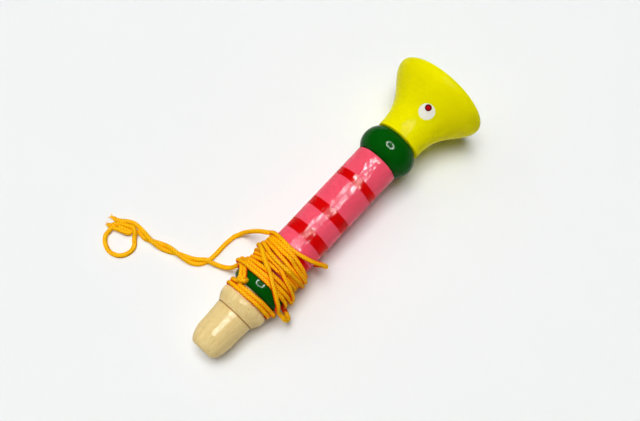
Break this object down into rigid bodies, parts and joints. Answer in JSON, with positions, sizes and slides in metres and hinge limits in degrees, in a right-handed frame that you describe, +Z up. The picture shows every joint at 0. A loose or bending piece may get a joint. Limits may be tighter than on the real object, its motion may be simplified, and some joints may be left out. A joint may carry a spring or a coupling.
{
  "type": "wooden toy trumpet",
  "caption": "Turned wooden toy trumpet with a flared bell, painted tube, bead rings, a natural mouthpiece with a beating reed, and a braided neck cord wound round it.",
  "frame": {"origin": "bottom centre of the wooden toy's box as it lies on a table, without the neck cord", "axes": "+X along the toy from the mouthpiece to the bell, +Z up from the table, +Y to the side where the free cord lies; the toy's own axis rises about 5 degrees towards the bell"},
  "size_m": [0.1308, 0.0826, 0.0381],
  "materials": {
    "clear_lacquered_wood": "satin clear lacquer over pale wood",
    "green_lacquered_wood": "gloss dark green lacquer",
    "pink_lacquered_wood": "gloss pink lacquer with red painted stripes",
    "yellow_lacquered_wood": "gloss yellow lacquer with a painted eye",
    "reed_plastic": "moulded, off-white",
    "sheet_brass": "thin rolled strip",
    "braided_cord": "orange-yellow braided cord"
  },
  "bodies": {
    "toy": {"mouthpiece": "clear_lacquered_wood", "lower_bead": "green_lacquered_wood", "body_tube": "pink_lacquered_wood", "upper_bead": "green_lacquered_wood", "bell": "yellow_lacquered_wood", "reed_body": "reed_plastic", "reed_ring": "reed_plastic", "cord_hitch": "braided_cord", "cord_knot": "braided_cord", "cord_winding": "braided_cord", "cord_cross_turns": "braided_cord", "cord_lead_bell_side": "braided_cord", "cord_lead_mouth_side": "braided_cord", "cord_end_knot": "braided_cord", "cord_end_loop": "braided_cord", "cord_tail": "braided_cord"},
    "tongue": {"reed_tongue": "sheet_brass"}
  },
  "joints": [
    {"name": "reed_flex", "type": "hinge", "parent": "toy", "child": "tongue", "pos_m": [-0.03597, 0, 0.01145], "axis": [0, 1, 0], "range_deg": [-1.8, 1.8], "stiffness_Nm_per_rad": 0.0062}
  ]
}
